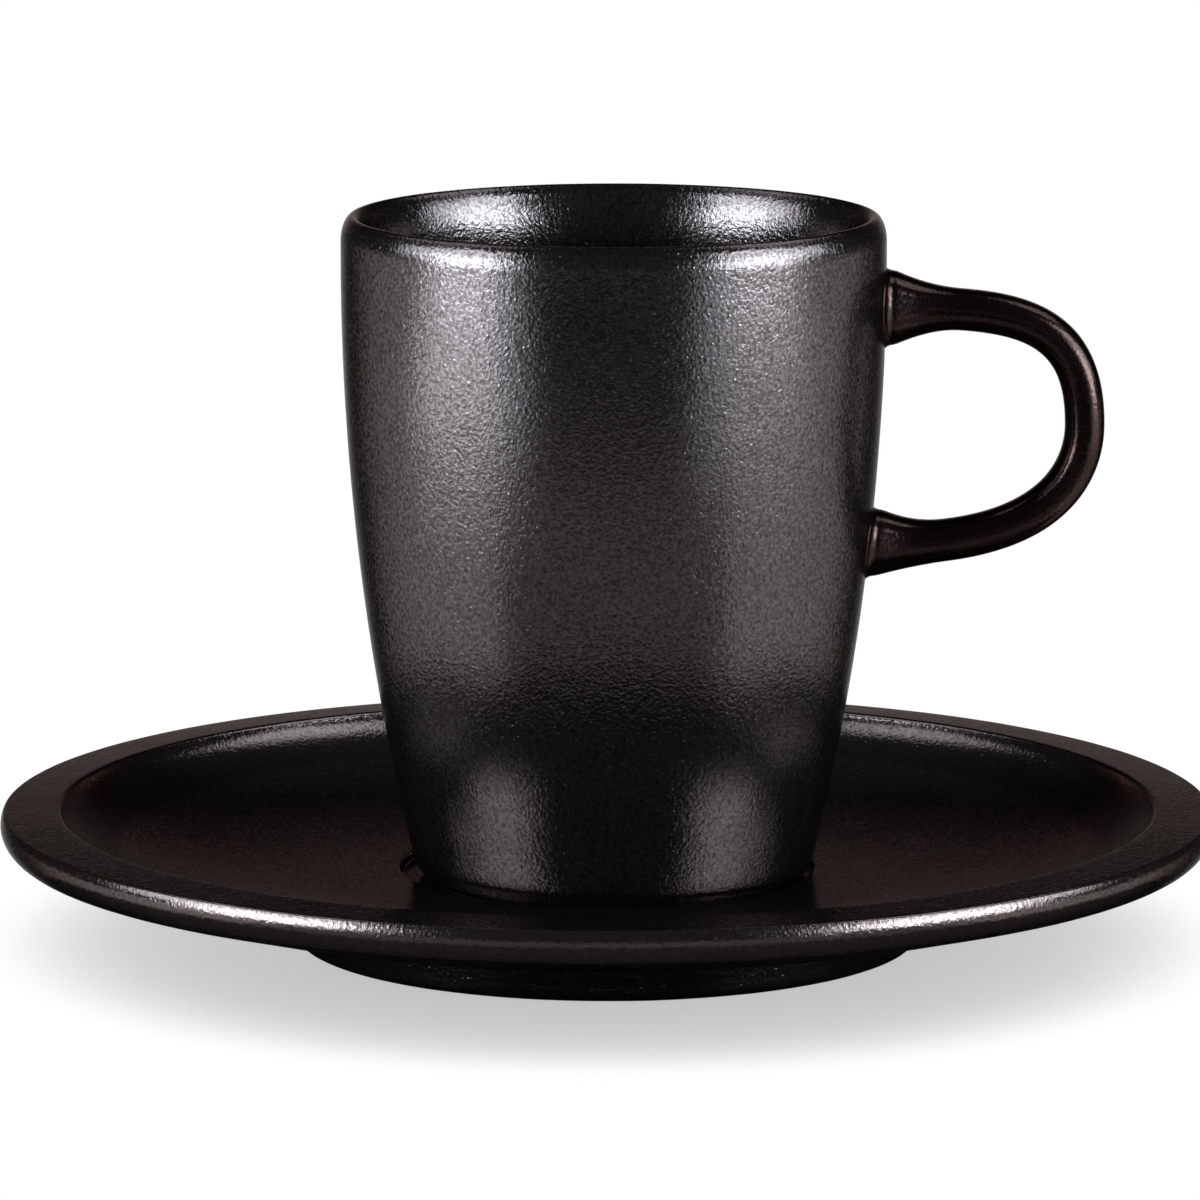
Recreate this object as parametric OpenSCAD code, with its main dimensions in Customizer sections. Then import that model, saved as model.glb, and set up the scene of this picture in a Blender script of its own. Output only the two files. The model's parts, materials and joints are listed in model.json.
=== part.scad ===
// Coffee cup standing in the well of its saucer. Lengths are in millimetres.
// The origin is the middle of the saucer's foot ring, on the table. +Z is up, and the
// cup's handle points along +X.

/* [Saucer] */
// Outside diameter of the saucer
saucer_d = 170; // [162:1:180]
// Height of the saucer, from the table to the top of its lip
saucer_h = 19; // [18:0.1:20.5]
// Width of the flat lip that runs round the saucer
lip_w = 8.7; // [7.6:0.1:9.6]
// How far the lip falls from its inner to its outer edge
lip_fall = 0.3; // [0:0.1:0.5]
// Radius of the round outside face of the lip
lip_side_r = 3.5; // [3:0.1:4]
// How far that face leans in again above its widest place, in degrees
lip_turn = 25; // [15:1:32]
// Radius of the lip's upper outside edge
lip_edge_r = 0.5; // [0.3:0.1:0.8]
// Radius of the lip's inner edge
lip_inner_edge_r = 0.8; // [0.5:0.1:1.1]
// Diameter at the knee, where the underside turns up to the lip
saucer_knee_d = 137; // [130:1:141]
// Height of the knee above the table
saucer_knee_h = 9.7; // [9.2:0.1:10.2]
// Outside diameter of the saucer's foot ring
saucer_foot_d = 87.6; // [82:0.1:94]
// Height of the foot ring on its outside
saucer_foot_h = 5; // [4.4:0.1:5.6]
// Width of the foot ring
saucer_foot_w = 4.6; // [3.6:0.1:5.6]
// Radius of the foot ring's two lower edges
saucer_foot_edge_r = 0.9; // [0.5:0.1:1.4]

/* [Dish and well] */
// Height of the level floor of the dish above the table
dish_floor_h = 10.1; // [9.6:0.1:10.6]
// Diameter at which the dish starts to rise
dish_flat_d = 80; // [72:1:86]
// Steepness of the dish's wall just under the lip, in degrees
dish_wall_angle = 62; // [55:1:72]
// Depth of the well that the cup stands in
well_depth = 1.3; // [1.1:0.1:1.6]
// Radius of the well's upper edge
well_edge_r = 0.5; // [0.3:0.1:0.6]
// Radius in the corner of the well's floor
well_corner_r = 0.4; // [0.2:0.1:0.5]
// Thickness of the saucer under the well
saucer_base_t = 4.4; // [3.8:0.1:5]

/* [Cup] */
// Largest outside diameter of the cup, just under its rim
cup_d = 75.8; // [72:0.1:80]
// Height of the cup, from its foot to its rim
cup_h = 93.2; // [88:0.1:100]
// How far the cup's widest place lies below the rim
widest_drop = 6.5; // [5:0.1:9]
// Outside diameter of the cup at the top of its rounded heel
heel_d = 56.6; // [55.4:0.1:60]
// Height of the rounded heel
heel_h = 3.6; // [3:0.1:4.6]
// Outside diameter of the cup's foot ring
cup_foot_d = 52.8; // [50:0.1:53.6]
// Width of the cup's foot ring
cup_foot_w = 3.2; // [2.6:0.1:4]
// Radius of the cup foot ring's two lower edges
cup_foot_edge_r = 0.5; // [0.3:0.1:0.8]
// Depth of the hollow inside the cup's foot ring
cup_foot_recess = 1.4; // [1:0.1:2]
// Thickness of the cup's wall
cup_wall = 4.1; // [3.6:0.1:4.6]
// How far in from the outside the top of the rim lies
rim_top_in = 1.7; // [1.4:0.1:2]
// Height over which the rim rounds off on its outside
rim_outer_h = 3.6; // [2.2:0.1:4.6]
// Height over which the rim rounds off on its inside
rim_inner_h = 9; // [6:0.1:12]
// Thickness from the table side of the cup's foot to the floor inside
cup_base_t = 5.2; // [4.6:0.1:6.4]
// Radius of the corner inside the cup, between its floor and its wall
cup_corner_r = 11; // [8:0.5:14]
// Space all round the cup's foot in the well
well_play = 2.5; // [2.2:0.1:3]
// How far the cup stands off the middle of the well, toward its handle
cup_shift = 0.9; // [0:0.1:1.1]

/* [Handle] */
// Reach of the handle, from the cup's wall to its outermost point
handle_reach = 30.5; // [28:0.5:34]
// How far the middle of the upper arm lies below the rim
arm_drop = 13; // [12:0.1:15]
// Distance between the middles of the upper and lower arm at the wall
arm_gap = 33; // [31:0.1:36]
// Thickness of the arms, seen from the side
arm_t = 5.8; // [5:0.1:6.4]
// Thickness of the handle at its outermost point
grip_t = 5.5; // [4.8:0.1:6]
// Width of the handle across its band
handle_w = 7.6; // [6.6:0.1:8.6]
// How much taller the upper arm grows where it flares to the wall
upper_flare = 4.6; // [3.8:0.1:5.6]
// How much taller the lower arm grows where it flares to the wall
lower_flare = 3.4; // [2.8:0.1:4.6]
// How much wider both arms grow where they flare to the wall
flare_w = 3; // [2:0.1:4]
// Length of the flares, from the slip collar to the plain arm
flare_l = 9.3; // [8:0.1:11]
// Length of the slip collar that joins each flare to the wall
collar_l = 1.3; // [0.8:0.1:1.6]
// How far the collar spreads to each side on the wall
collar_spread = 1.3; // [0.8:0.1:2]
// How far the collar spreads up and down on the wall
collar_rise = 0.4; // [0.2:0.1:0.6]

/* [Hidden] */
glaze = "#2b2422";
ARC_STEPS = 8;
LIP_STEPS = 14;
WALL_STEPS = 28;
ROUND_FN = 180;
SIDES = 28;
HALF_RINGS = 34;

saucer_r = saucer_d / 2;
saucer_foot_r = saucer_foot_d / 2;
saucer_foot_inner_r = saucer_foot_r - saucer_foot_w;
knee_r = saucer_knee_d / 2;
lip_inner_r = saucer_r - lip_w;
lip_turn_way = (lip_side_r - lip_edge_r) * [cos(lip_turn), sin(lip_turn)];
lip_side_centre = [
    saucer_r - lip_side_r,
    saucer_h - lip_fall - lip_edge_r - lip_turn_way[1]
];
dish_flat_r = dish_flat_d / 2;
cup_foot_r = cup_foot_d / 2;
cup_foot_inner_r = cup_foot_r - cup_foot_w;
well_r = cup_foot_r + well_play;
well_h = dish_floor_h - well_depth;
recess_h = well_h - saucer_base_t;

// The cup's outer wall is one long arc, upright at the widest place
cup_r = cup_d / 2;
heel_r = heel_d / 2;
widest_h = cup_h - widest_drop;
wall_inset = cup_r - heel_r;
wall_rise = widest_h - heel_h;
wall_arc_r = (wall_rise * wall_rise + wall_inset * wall_inset) / (2 * wall_inset);
wall_centre = [cup_r - wall_arc_r, widest_h];
wall_angle = asin(wall_rise / wall_arc_r);
rim_top_r = cup_r - rim_top_in;

// The handle's middle line runs out along the upper arm and back along the lower one
upper_h = cup_h - arm_drop;
lower_h = upper_h - arm_gap;
upper_wall_r = wall_r(upper_h);
lower_wall_r = wall_r(lower_h);
outermost_r = upper_wall_r + handle_reach - grip_t / 2;
outermost_share = 0.5;
outermost_h = lower_h + arm_gap * outermost_share;
sunk_share = 0.29;
sunk = cup_wall * sunk_share;
upper_pull_share = 0.57;
upper_shoulder_share = 1;
lower_shoulder_share = 0.38;
lower_pull_share = 0.86;
lower_dip_share = 0.045;
flare_power = 2;
collar_root_power = 3;
band_power = 2.3;
ring_crowding = 1.6;

// Points along a circle's arc, with angles in degrees from the first axis
function arc(centre, radius, from, to, steps) = [
    for (i = [0:steps])
        let (angle = from + (to - from) * i / steps)
        centre + radius * [cos(angle), sin(angle)]
];

// The same along an oval, which is given by half its width and half its height
function oval(centre, half, from, to, steps) = [
    for (i = [0:steps])
        let (angle = from + (to - from) * i / steps)
        centre + [half[0] * cos(angle), half[1] * sin(angle)]
];

// A point at share t along the curve that four control points pull
function pulled(p, t) =
    pow(1 - t, 3) * p[0] + 3 * t * pow(1 - t, 2) * p[1]
    + 3 * t * t * (1 - t) * p[2] + pow(t, 3) * p[3];

function curve(p, steps) = [for (i = [0:steps]) pulled(p, i / steps)];

// A rounded corner, from one point to another past the corner between them
function bend(start, corner, end, steps) = [
    for (i = [0:steps])
        let (t = i / steps)
        pow(1 - t, 2) * start + 2 * t * (1 - t) * corner + t * t * end
];

// Angle of the line that leaves a point and just touches a circle above it
function touching_angle(point, centre, radius) =
    let (way = centre - point)
    atan2(way[1], way[0]) - asin(radius / norm(way));

// Radius of the cup's outer wall at a height above its foot
function wall_r(h) =
    wall_centre[0] + sqrt(pow(wall_arc_r, 2) - pow(h - wall_centre[1], 2));

// Saucer: one pressed dish with a foot ring below and a shallow well for the cup above
function saucer_outline() =
    let (
        knee = [knee_r, saucer_knee_h],
        foot_top = [saucer_foot_r, saucer_foot_h],
        slope = touching_angle(knee, lip_side_centre, lip_side_r),
        knee_soft = lip_side_r,
        before_knee = knee + knee_soft * (foot_top - knee) / norm(foot_top - knee),
        after_knee = knee + knee_soft * [cos(slope), sin(slope)],
        lip_tilt = atan(lip_fall / lip_w),
        inner_centre = [lip_inner_r + lip_inner_edge_r, saucer_h - lip_inner_edge_r],
        dish_top = inner_centre
            + lip_inner_edge_r * [-sin(dish_wall_angle), cos(dish_wall_angle)],
        dish_steep_share = 0.14,
        dish_flat_share = 0.5,
        dish_run = lip_inner_r - dish_flat_r,
        dish_steep = dish_run * dish_steep_share,
        dish_pull = dish_top - dish_steep * [cos(dish_wall_angle), sin(dish_wall_angle)],
        dish_start = [dish_flat_r, dish_floor_h],
        dish_flat_pull = dish_start + [dish_run * dish_flat_share, 0]
    )
    concat(
        [[0, recess_h], [saucer_foot_inner_r, recess_h]],
        arc([saucer_foot_inner_r + saucer_foot_edge_r, saucer_foot_edge_r],
            saucer_foot_edge_r, 180, 270, ARC_STEPS),
        arc([saucer_foot_r - saucer_foot_edge_r, saucer_foot_edge_r],
            saucer_foot_edge_r, 270, 360, ARC_STEPS),
        [foot_top],
        bend(before_knee, knee, after_knee, ARC_STEPS),
        arc(lip_side_centre, lip_side_r, slope - 90, lip_turn, ARC_STEPS + 4),
        arc(lip_side_centre + lip_turn_way, lip_edge_r,
            lip_turn + 8, 90 - lip_tilt, ARC_STEPS),
        arc(inner_centre, lip_inner_edge_r, 90, 90 + dish_wall_angle, ARC_STEPS),
        curve([dish_top, dish_pull, dish_flat_pull, dish_start], WALL_STEPS),
        arc([well_r + well_edge_r, dish_floor_h - well_edge_r], well_edge_r,
            90, 180, ARC_STEPS),
        arc([well_r - well_corner_r, well_h + well_corner_r], well_corner_r,
            0, -90, ARC_STEPS),
        [[0, well_h]]
    );

// Outside of the cup, from its foot ring up to the middle of its rim
function cup_outside() =
    let (
        heel_pull_share = 0.32,
        ring_edge = cup_foot_edge_r * [1 + cos(315), 1 + sin(315)],
        ring_end = [cup_foot_r - 2 * cup_foot_edge_r, 0] + ring_edge,
        heel_corner = [
            heel_r - heel_h * (1 - heel_pull_share) * tan(wall_angle),
            heel_h * heel_pull_share
        ]
    )
    concat(
        arc([cup_foot_r - cup_foot_edge_r, cup_foot_edge_r], cup_foot_edge_r,
            270, 315, ARC_STEPS),
        bend(ring_end, heel_corner, [heel_r, heel_h], ARC_STEPS),
        arc(wall_centre, wall_arc_r, -wall_angle, 0, WALL_STEPS),
        oval([rim_top_r, cup_h - rim_outer_h], [rim_top_in, rim_outer_h], 0, 90, ARC_STEPS)
    );

// Inside of the cup, from the middle of its rim down to its floor
function cup_inside() =
    let (
        inner_arc_r = wall_arc_r - cup_wall,
        lip_angle = asin((rim_inner_h - widest_drop) / inner_arc_r),
        lip_in = rim_top_r - wall_centre[0] - inner_arc_r * cos(lip_angle),
        corner_h = cup_base_t + cup_corner_r,
        corner_angle = asin((widest_h - corner_h) / (inner_arc_r - cup_corner_r)),
        corner_centre = wall_centre
            + (inner_arc_r - cup_corner_r) * [cos(corner_angle), -sin(corner_angle)]
    )
    concat(
        oval([rim_top_r, cup_h - rim_inner_h], [lip_in, rim_inner_h], 90, 180, LIP_STEPS),
        arc(wall_centre, inner_arc_r, -lip_angle, -corner_angle, WALL_STEPS),
        arc(corner_centre, cup_corner_r, -corner_angle, -90, ARC_STEPS),
        [[0, cup_base_t]]
    );

function cup_outline() = concat(
    [[0, cup_foot_recess], [cup_foot_inner_r, cup_foot_recess]],
    arc([cup_foot_inner_r + cup_foot_edge_r, cup_foot_edge_r], cup_foot_edge_r,
        180, 270, ARC_STEPS),
    cup_outside(),
    cup_inside()
);

module standing_in_well() {
    translate([cup_shift, 0, well_h])
        children();
}

// What is left of a collar or flare at a distance past its full end, from 1 down to 0
function left_of(distance, length) = max(0, 1 - max(0, distance) / length);

// Middle line of the handle, as [distance from the cup's axis, height, part of the way]
function upper_path() = [
    [upper_wall_r - sunk, upper_h],
    [upper_wall_r + upper_pull_share * (outermost_r - upper_wall_r), upper_h],
    [outermost_r, outermost_h + upper_shoulder_share * (upper_h - outermost_h)],
    [outermost_r, outermost_h]
];

function lower_path() = [
    [outermost_r, outermost_h],
    [outermost_r, outermost_h - lower_shoulder_share * (outermost_h - lower_h)],
    [lower_wall_r + lower_pull_share * (outermost_r - lower_wall_r),
        lower_h - lower_dip_share * arm_gap],
    [lower_wall_r - sunk, lower_h]
];

// Rings lie closer together near the wall, where the flares bend the most
function upper_share(i) = pow(i / HALF_RINGS, ring_crowding);

function slope_at(p, t) =
    let (
        along = pow(1 - t, 2) * (p[1] - p[0]) + 2 * t * (1 - t) * (p[2] - p[1])
            + t * t * (p[3] - p[2])
    )
    along / norm(along);

// One ring of the band: an oval, square to the middle line, with its flare and collar
function ring(p, t, wall_distance, flare) =
    let (
        middle = pulled(p, t),
        along = slope_at(p, t),
        outward = [-along[1], along[0]],
        toward_grip = max(0, (middle[0] - wall_distance) / (outermost_r - wall_distance)),
        thick = arm_t + (grip_t - arm_t) * pow(toward_grip, 2),
        from_wall = middle[0] - wall_distance,
        flared = pow(left_of(from_wall - collar_l, flare_l), flare_power),
        collar = left_of(from_wall, collar_l),
        root = pow(collar, collar_root_power),
        half_t = (thick + flare * flared) / 2 + collar_rise * root,
        half_w = (handle_w + flare_w * flared) / 2 + collar_spread * collar
    )
    [for (k = [0:SIDES - 1])
        let (
            angle = 360 * k / SIDES,
            up = sign(sin(angle)) * pow(abs(sin(angle)), 2 / band_power) * half_t,
            side = sign(cos(angle)) * pow(abs(cos(angle)), 2 / band_power) * half_w
        )
        [middle[0] + up * outward[0], side, middle[1] + up * outward[1]]
    ];

// The curved band of the handle as one closed sweep, with both ends inside the wall
module handle_band() {
    upper = [for (i = [0:HALF_RINGS])
        ring(upper_path(), upper_share(i), upper_wall_r, upper_flare)];
    lower = [for (i = [HALF_RINGS - 1:-1:0])
        ring(lower_path(), 1 - upper_share(i), lower_wall_r, lower_flare)];
    rings = concat(upper, lower);
    last = len(rings) - 1;
    points = [for (r = rings) for (p = r) p];
    sides = [
        for (i = [0:last - 1]) for (k = [0:SIDES - 1])
            let (
                a = i * SIDES + k,
                b = i * SIDES + (k + 1) % SIDES
            )
            each [[a, b + SIDES, b], [a, a + SIDES, b + SIDES]]
    ];
    first_end = [for (k = [0:SIDES - 1]) k];
    last_end = [for (k = [SIDES - 1:-1:0]) last * SIDES + k];
    polyhedron(points, concat([first_end], sides, [last_end]), convexity = 6);
}

module saucer() {
    color(glaze)
        rotate_extrude($fn = ROUND_FN)
            polygon(saucer_outline());
}

module cup_body() {
    color(glaze)
        standing_in_well()
            rotate_extrude($fn = ROUND_FN)
                polygon(cup_outline());
}

// The handle is luted on: its two ends are cut to the round of the cup's wall
module cup_handle() {
    color(glaze)
        standing_in_well()
            difference() {
                handle_band();
                rotate_extrude($fn = ROUND_FN)
                    polygon(concat([[0, 0]], cup_outside(), [[0, cup_h]]));
            }
}

saucer();
cup_body();
cup_handle();
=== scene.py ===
"""Coffee cup standing in the well of its saucer: the looks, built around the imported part.

Lengths are in millimetres until they become mesh points, which are in metres. The origin is the
middle of the saucer's foot ring, +Z is up, and the handle points along +X.
"""

import json
import math

import bpy
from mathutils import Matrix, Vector

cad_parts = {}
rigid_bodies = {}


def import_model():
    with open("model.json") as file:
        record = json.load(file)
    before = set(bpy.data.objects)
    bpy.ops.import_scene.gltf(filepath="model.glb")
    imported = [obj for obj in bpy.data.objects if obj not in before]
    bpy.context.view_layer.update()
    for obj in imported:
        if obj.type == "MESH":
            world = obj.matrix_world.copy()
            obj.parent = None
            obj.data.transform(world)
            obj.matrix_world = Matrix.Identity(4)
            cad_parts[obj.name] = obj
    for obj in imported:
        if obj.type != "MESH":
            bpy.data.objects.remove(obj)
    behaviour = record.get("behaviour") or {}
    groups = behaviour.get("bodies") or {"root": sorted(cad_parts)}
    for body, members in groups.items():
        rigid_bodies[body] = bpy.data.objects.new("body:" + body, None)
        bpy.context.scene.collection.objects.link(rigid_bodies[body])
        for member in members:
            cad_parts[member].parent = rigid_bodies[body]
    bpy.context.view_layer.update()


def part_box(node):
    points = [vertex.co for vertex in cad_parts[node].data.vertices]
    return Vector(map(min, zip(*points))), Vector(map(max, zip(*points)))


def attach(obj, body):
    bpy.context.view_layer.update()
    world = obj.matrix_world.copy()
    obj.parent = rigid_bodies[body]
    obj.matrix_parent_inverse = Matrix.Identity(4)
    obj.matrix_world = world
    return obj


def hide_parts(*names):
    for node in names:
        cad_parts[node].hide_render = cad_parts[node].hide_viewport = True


for leftover in list(bpy.data.objects):
    bpy.data.objects.remove(leftover)
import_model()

# Saucer
# One dish of stoneware, pressed between moulds, with its lip, its foot ring and a shallow well
# for the cup in a single piece of clay. It is sponged, glazed all over but for the sole of the
# foot ring, and fired standing on that sole.


def packed_size(metres):
    """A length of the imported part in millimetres, to the nearest tenth, as it was drawn."""
    return round(metres * 1000, 1)


saucer_low, saucer_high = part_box("saucer")
cup_low, cup_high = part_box("cup_body")
SAUCER_R = packed_size(saucer_high[0] - saucer_low[0]) / 2
SAUCER_H = packed_size(saucer_high[2])
LIP_W = 8.7
LIP_FALL = 0.3
LIP_SIDE_R = 3.5
LIP_TURN = 25.0
LIP_EDGE_R = 0.5
LIP_INNER_EDGE_R = 0.8
LIP_CREST_IN = 2.2
LIP_CREST_FALL = 0.78 * LIP_FALL
KNEE = (68.5, 9.7)
KNEE_SOFT = LIP_SIDE_R
FOOT_R = 43.8
FOOT_H = 5.0
FOOT_W = 4.6
FOOT_EDGE_R = 0.9
FOOT_FILLET = 0.9
RECESS_H = 4.4
RECESS_CORNER_R = 0.8
DISH_FLOOR_H = 10.1
DISH_FLAT_R = 40.0
DISH_WALL_ANGLE = 62.0
DISH_STEEP_SHARE = 0.14
DISH_FLAT_SHARE = 0.5
WELL_R = 28.9
WELL_H = packed_size(cup_low[2])
WELL_EDGE_R = 0.5
WELL_CORNER_R = 0.4

# How far round its edges the sole is wiped, how far past that the glaze starts again, and how
# far past its side face the lip's upper edge starts, all in degrees
SOLE_TURN = 30
GLAZE_START = 5
LIP_EDGE_START = 5

# Spans in each arc and curve of the outlines, and the longest straight span. The first spans of
# the dish's wall carry thin glaze, and the next ones let it thicken again.
EDGE_STEPS = 8
SOLE_STEPS = 6
KNEE_STEPS = 14
LIP_STEPS = 14
LIP_SIDE_STEPS = 35
DISH_STEPS = 44
DISH_THIN_STEPS = 16
DISH_FADE_STEPS = 2
LONGEST_SPAN = 1.0
SAUCER_DIVISIONS = 288

# Fired clay is never quite true: it has slow, shallow waves
WAVE_DEPTH = 0.06
WAVES_IN_A_METRE = 90.0

# Points that lie closer than this become one, which closes the seams and the poles
SEAM_GAP = 0.002


def arc(centre, radius, start, end, steps):
    """Points along an arc, with angles in degrees. A pair of radii makes it part of an oval."""
    wide, high = radius if isinstance(radius, tuple) else (radius, radius)
    turns = [math.radians(start + (end - start) * i / steps) for i in range(steps + 1)]
    return [(centre[0] + wide * math.cos(t), centre[1] + high * math.sin(t)) for t in turns]


def pulled(controls, t):
    """The point at share t of the curve that the control points pull."""
    points = [tuple(p) for p in controls]
    while len(points) > 1:
        points = [
            tuple(a + (b - a) * t for a, b in zip(p, q)) for p, q in zip(points, points[1:])
        ]
    return points[0]


def curve(controls, steps):
    """Points along that curve, from its first control point to its last."""
    return [pulled(controls, i / steps) for i in range(steps + 1)]


def coat(points, thin=0.0, bare=0.0):
    """Outline points with the glaze on them: how far it has run thin, and where it is wiped off."""
    return [(r, h, thin, bare) for r, h in points]


def stepped(points, longest):
    """The same outline with points put in, so that no span is longer than the longest."""
    made = [points[0]]
    for a, b in zip(points, points[1:]):
        pieces = max(1, math.ceil(math.dist(a[:2], b[:2]) / longest))
        made += [
            tuple(p + (q - p) * k / pieces for p, q in zip(a, b)) for k in range(1, pieces + 1)
        ]
    return made


def foot_outline():
    """The saucer's hollow and its foot ring, from the middle out to the underside."""
    ring_in = FOOT_R - FOOT_W
    corner = (ring_in - RECESS_CORNER_R, RECESS_H - RECESS_CORNER_R)
    inner_edge = (ring_in + FOOT_EDGE_R, FOOT_EDGE_R)
    outer_edge = (FOOT_R - FOOT_EDGE_R, FOOT_EDGE_R)
    wiped_from = 270 - SOLE_TURN
    wiped_to = 270 + SOLE_TURN
    rise = (KNEE[1] - FOOT_H) / (KNEE[0] - FOOT_R)
    fillet = [
        (FOOT_R, FOOT_H - FOOT_FILLET),
        (FOOT_R, FOOT_H),
        (FOOT_R + FOOT_FILLET, FOOT_H + FOOT_FILLET * rise),
    ]
    inside = arc(inner_edge, FOOT_EDGE_R, 180, wiped_from - GLAZE_START, EDGE_STEPS)
    outside = arc(outer_edge, FOOT_EDGE_R, wiped_to + GLAZE_START, 360, EDGE_STEPS)
    return (
        coat([(0, RECESS_H), (corner[0], RECESS_H)], thin=0.7)
        + coat(arc(corner, RECESS_CORNER_R, 90, 0, EDGE_STEPS)[1:], thin=0.7)
        + coat(inside, thin=0.5)
        + coat(arc(inner_edge, FOOT_EDGE_R, wiped_from, 270, SOLE_STEPS), bare=1.0)
        + coat(arc(outer_edge, FOOT_EDGE_R, 270, wiped_to, SOLE_STEPS), bare=1.0)
        + coat(outside, thin=0.3)
        + coat(curve(fillet, EDGE_STEPS), thin=0.2)
    )


def lip_outline():
    """The knee in the saucer's underside, and its lip up to the inner edge."""
    lean = math.radians(LIP_TURN)
    within = LIP_SIDE_R - LIP_EDGE_R
    edge_centre = (
        SAUCER_R - LIP_SIDE_R + within * math.cos(lean),
        SAUCER_H - LIP_FALL - LIP_EDGE_R,
    )
    side_centre = (SAUCER_R - LIP_SIDE_R, edge_centre[1] - within * math.sin(lean))
    way = (side_centre[0] - KNEE[0], side_centre[1] - KNEE[1])
    slope = math.atan2(way[1], way[0]) - math.asin(LIP_SIDE_R / math.hypot(*way))
    foot_top = (FOOT_R, FOOT_H)
    run = math.dist(KNEE, foot_top)
    knee = [
        tuple(k + KNEE_SOFT * (f - k) / run for k, f in zip(KNEE, foot_top)),
        KNEE,
        (KNEE[0] + KNEE_SOFT * math.cos(slope), KNEE[1] + KNEE_SOFT * math.sin(slope)),
    ]
    tilt = math.degrees(math.atan(LIP_FALL / LIP_W))
    side_start = math.degrees(slope) - 90
    edge_start = LIP_TURN + LIP_EDGE_START
    return (
        coat(curve(knee, KNEE_STEPS), thin=0.35)
        + coat(arc(side_centre, LIP_SIDE_R, side_start, LIP_TURN, LIP_SIDE_STEPS), thin=0.35)
        + coat(arc(edge_centre, LIP_EDGE_R, edge_start, 90 - tilt, LIP_STEPS), thin=0.35)
        + coat([(SAUCER_R - LIP_CREST_IN, SAUCER_H - LIP_CREST_FALL)], thin=0.2)
    )


def dish_outline():
    """The lip's inner edge, the dish and the well, in to the middle."""
    inner_centre = (SAUCER_R - LIP_W + LIP_INNER_EDGE_R, SAUCER_H - LIP_INNER_EDGE_R)
    steep = math.radians(DISH_WALL_ANGLE)
    top = (
        inner_centre[0] - LIP_INNER_EDGE_R * math.sin(steep),
        inner_centre[1] + LIP_INNER_EDGE_R * math.cos(steep),
    )
    run = SAUCER_R - LIP_W - DISH_FLAT_R
    wall = [
        top,
        (
            top[0] - DISH_STEEP_SHARE * run * math.cos(steep),
            top[1] - DISH_STEEP_SHARE * run * math.sin(steep),
        ),
        (DISH_FLAT_R + DISH_FLAT_SHARE * run, DISH_FLOOR_H),
        (DISH_FLAT_R, DISH_FLOOR_H),
    ]
    wall = curve(wall, DISH_STEPS)
    thick_from = DISH_THIN_STEPS + DISH_FADE_STEPS
    well_edge = (WELL_R + WELL_EDGE_R, DISH_FLOOR_H - WELL_EDGE_R)
    well_corner = (WELL_R - WELL_CORNER_R, WELL_H + WELL_CORNER_R)
    inner_end = 90 + DISH_WALL_ANGLE
    return (
        coat(arc(inner_centre, LIP_INNER_EDGE_R, 90, inner_end, LIP_STEPS), thin=0.4)
        + coat(wall[1:DISH_THIN_STEPS], thin=0.35)
        + coat(wall[thick_from:])
        + coat(arc(well_edge, WELL_EDGE_R, 90, 180, EDGE_STEPS))
        + coat(arc(well_corner, WELL_CORNER_R, 0, -90, EDGE_STEPS))
        + coat([(0, WELL_H)])
    )


def add_node(tree, kind, settings=None, **links):
    """Adds a node, sets its properties, and fills its inputs with values, sockets or nodes.

    An input goes by its title or, where the titles repeat, by i and its number. A node that is
    given stands for the first of its outputs that is in use.
    """
    made = tree.nodes.new(kind)
    for name, value in (settings or {}).items():
        setattr(made, name, value)
    for name, value in links.items():
        key = int(name[1:]) if name[0] == "i" and name[1:].isdigit() else name.replace("_", " ")
        socket = made.inputs[key]
        if isinstance(value, bpy.types.Node):
            value = next(output for output in value.outputs if output.enabled)
        if isinstance(value, bpy.types.NodeSocket):
            tree.links.new(value, socket)
        else:
            socket.default_value = value
    return made


def linear(colour):
    """An sRGB hex colour as the linear values that a shader takes."""
    parts = [int(colour[i : i + 2], 16) / 255 for i in (1, 3, 5)]
    return tuple(c / 12.92 if c <= 0.04045 else ((c + 0.055) / 1.055) ** 2.4 for c in parts) + (1,)


# Width of the glaze's grain, length of its wrinkles, width of its slow changes in tone, gap
# between its pimples, and radius of a pimple's top and foot. The grain is finer on the real
# glaze, and is drawn as coarse as it needs to show.
GRAIN = 0.5
WRINKLE = 1.7
CLOUD = 14.0
PIMPLE_GAP = 1.2
PIMPLE_TOP_R = 0.036
PIMPLE_FOOT_R = 0.288

# Height of the wrinkles and the pimples as shares of the grain's, and how much the clouds and
# the pimples add to the paler tone
WRINKLE_SHARE = 0.5
PIMPLE_SHARE = 0.4
CLOUD_TONE = 0.2
PIMPLE_TONE = 0.2

# How much of the relief shows under a full coat, and how much more where the coat is thin
COAT_RELIEF = 0.5
THIN_RELIEF = 0.4

# Noise keeps to the middle of its range, between about these two values
NOISE_LOW = 0.3
NOISE_HIGH = 0.7

# How the roughness drifts with the clouds, and what thin glaze and bare clay add to it
ROUGH_DRIFT = 0.03
THIN_ROUGHER = 0.04
BARE_ROUGHER = 0.55


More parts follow.
